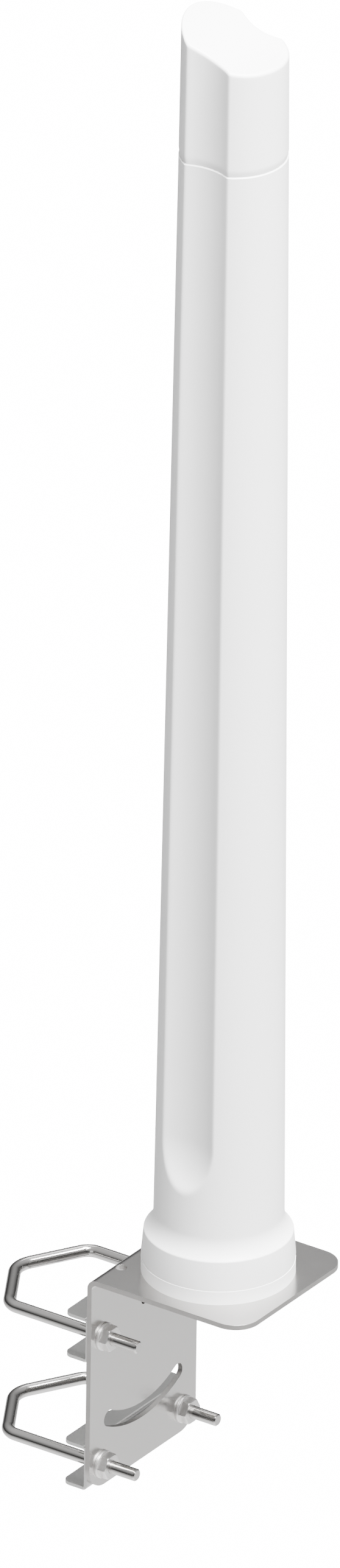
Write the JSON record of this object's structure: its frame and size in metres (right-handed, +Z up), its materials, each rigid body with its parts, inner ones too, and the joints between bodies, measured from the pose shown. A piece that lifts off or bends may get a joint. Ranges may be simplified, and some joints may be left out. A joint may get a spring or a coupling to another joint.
{
  "type": "omnidirectional antenna",
  "caption": "Tall white fluted tubular antenna standing on a folded steel L-bracket with V-bolt clamps that hold it beside a round mast.",
  "frame": {"origin": "on the centre line of the clamped mast, midway between the two V-bolt clamps", "axes": "+Z up along the mast and the antenna; +X from the mast towards the antenna; +Y across the bracket plate"},
  "size_m": [0.1871, 0.1032, 0.9038],
  "materials": {
    "sheet_steel": "satin cold-rolled stainless sheet",
    "saddle_steel": "satin pressed stainless sheet",
    "polished_rod": "polished stainless rod",
    "fastener_steel": "bright stainless fasteners",
    "radome_white": "satin white moulded plastic",
    "base_white": "satin white moulded plastic",
    "rubber_black": "matte black rubber",
    "brass": "turned brass",
    "connector_plate": "bright nickel plating",
    "bead_white": "matte white fluoropolymer",
    "copper": "bare copper",
    "board_green": "green solder mask",
    "socket_black": "matte black moulded plastic",
    "foam_white": "fine closed-cell foam"
  },
  "bodies": {
    "bracket_and_antenna": {"l_bracket": "sheet_steel", "upper_saddle": "saddle_steel", "lower_saddle": "saddle_steel", "radome": "radome_white", "top_cap": "radome_white", "base_plug": "base_white", "base_seal": "rubber_black", "base_screws": "fastener_steel", "base_screw_washers": "fastener_steel", "thread_inserts": "brass", "connector_body": "connector_plate", "connector_gasket": "rubber_black", "connector_nut": "connector_plate", "connector_insulator": "bead_white", "connector_contact": "brass", "feed_coax": "copper", "feed_tab": "copper", "circuit_board": "board_green", "front_feed_line": "copper", "rear_ground_strip": "copper", "front_dipole_arms": "copper", "rear_dipole_arms": "copper", "board_socket": "socket_black", "foam_spacers": "foam_white", "upper_near_washer": "fastener_steel", "upper_far_washer": "fastener_steel", "lower_near_washer": "fastener_steel", "lower_far_washer": "fastener_steel"},
    "upper_v_bolt": {"upper_v_bolt": "polished_rod"},
    "upper_near_nut": {"upper_near_nut": "fastener_steel"},
    "upper_far_nut": {"upper_far_nut": "fastener_steel"},
    "lower_v_bolt": {"lower_v_bolt": "polished_rod"},
    "lower_near_nut": {"lower_near_nut": "fastener_steel"},
    "lower_far_nut": {"lower_far_nut": "fastener_steel"}
  },
  "joints": [
    {"name": "upper_near_nut_turn", "type": "hinge", "parent": "bracket_and_antenna", "child": "upper_near_nut", "pos_m": [0.051, -0.0392, 0.0398], "axis": [1, 0, 0], "range_deg": [-4320, 4320]},
    {"name": "upper_far_nut_turn", "type": "hinge", "parent": "bracket_and_antenna", "child": "upper_far_nut", "pos_m": [0.051, 0.0392, 0.0398], "axis": [1, 0, 0], "range_deg": [-4320, 4320]},
    {"name": "upper_v_bolt_slide", "type": "slide", "parent": "bracket_and_antenna", "child": "upper_v_bolt", "axis": [1, 0, 0], "range_m": [-0.015, 0.015]},
    {"name": "lower_near_nut_turn", "type": "hinge", "parent": "bracket_and_antenna", "child": "lower_near_nut", "pos_m": [0.051, -0.0392, -0.0398], "axis": [1, 0, 0], "range_deg": [-4320, 4320]},
    {"name": "lower_far_nut_turn", "type": "hinge", "parent": "bracket_and_antenna", "child": "lower_far_nut", "pos_m": [0.051, 0.0392, -0.0398], "axis": [1, 0, 0], "range_deg": [-4320, 4320]},
    {"name": "lower_v_bolt_slide", "type": "slide", "parent": "bracket_and_antenna", "child": "lower_v_bolt", "axis": [1, 0, 0], "range_m": [-0.015, 0.015]}
  ],
  "couplings": [
    {"joint": "upper_near_nut_turn", "follows": "upper_v_bolt_slide", "rad_per_m": -5026.5},
    {"joint": "upper_far_nut_turn", "follows": "upper_v_bolt_slide", "rad_per_m": -5026.5},
    {"joint": "lower_near_nut_turn", "follows": "lower_v_bolt_slide", "rad_per_m": -5026.5},
    {"joint": "lower_far_nut_turn", "follows": "lower_v_bolt_slide", "rad_per_m": -5026.5}
  ]
}
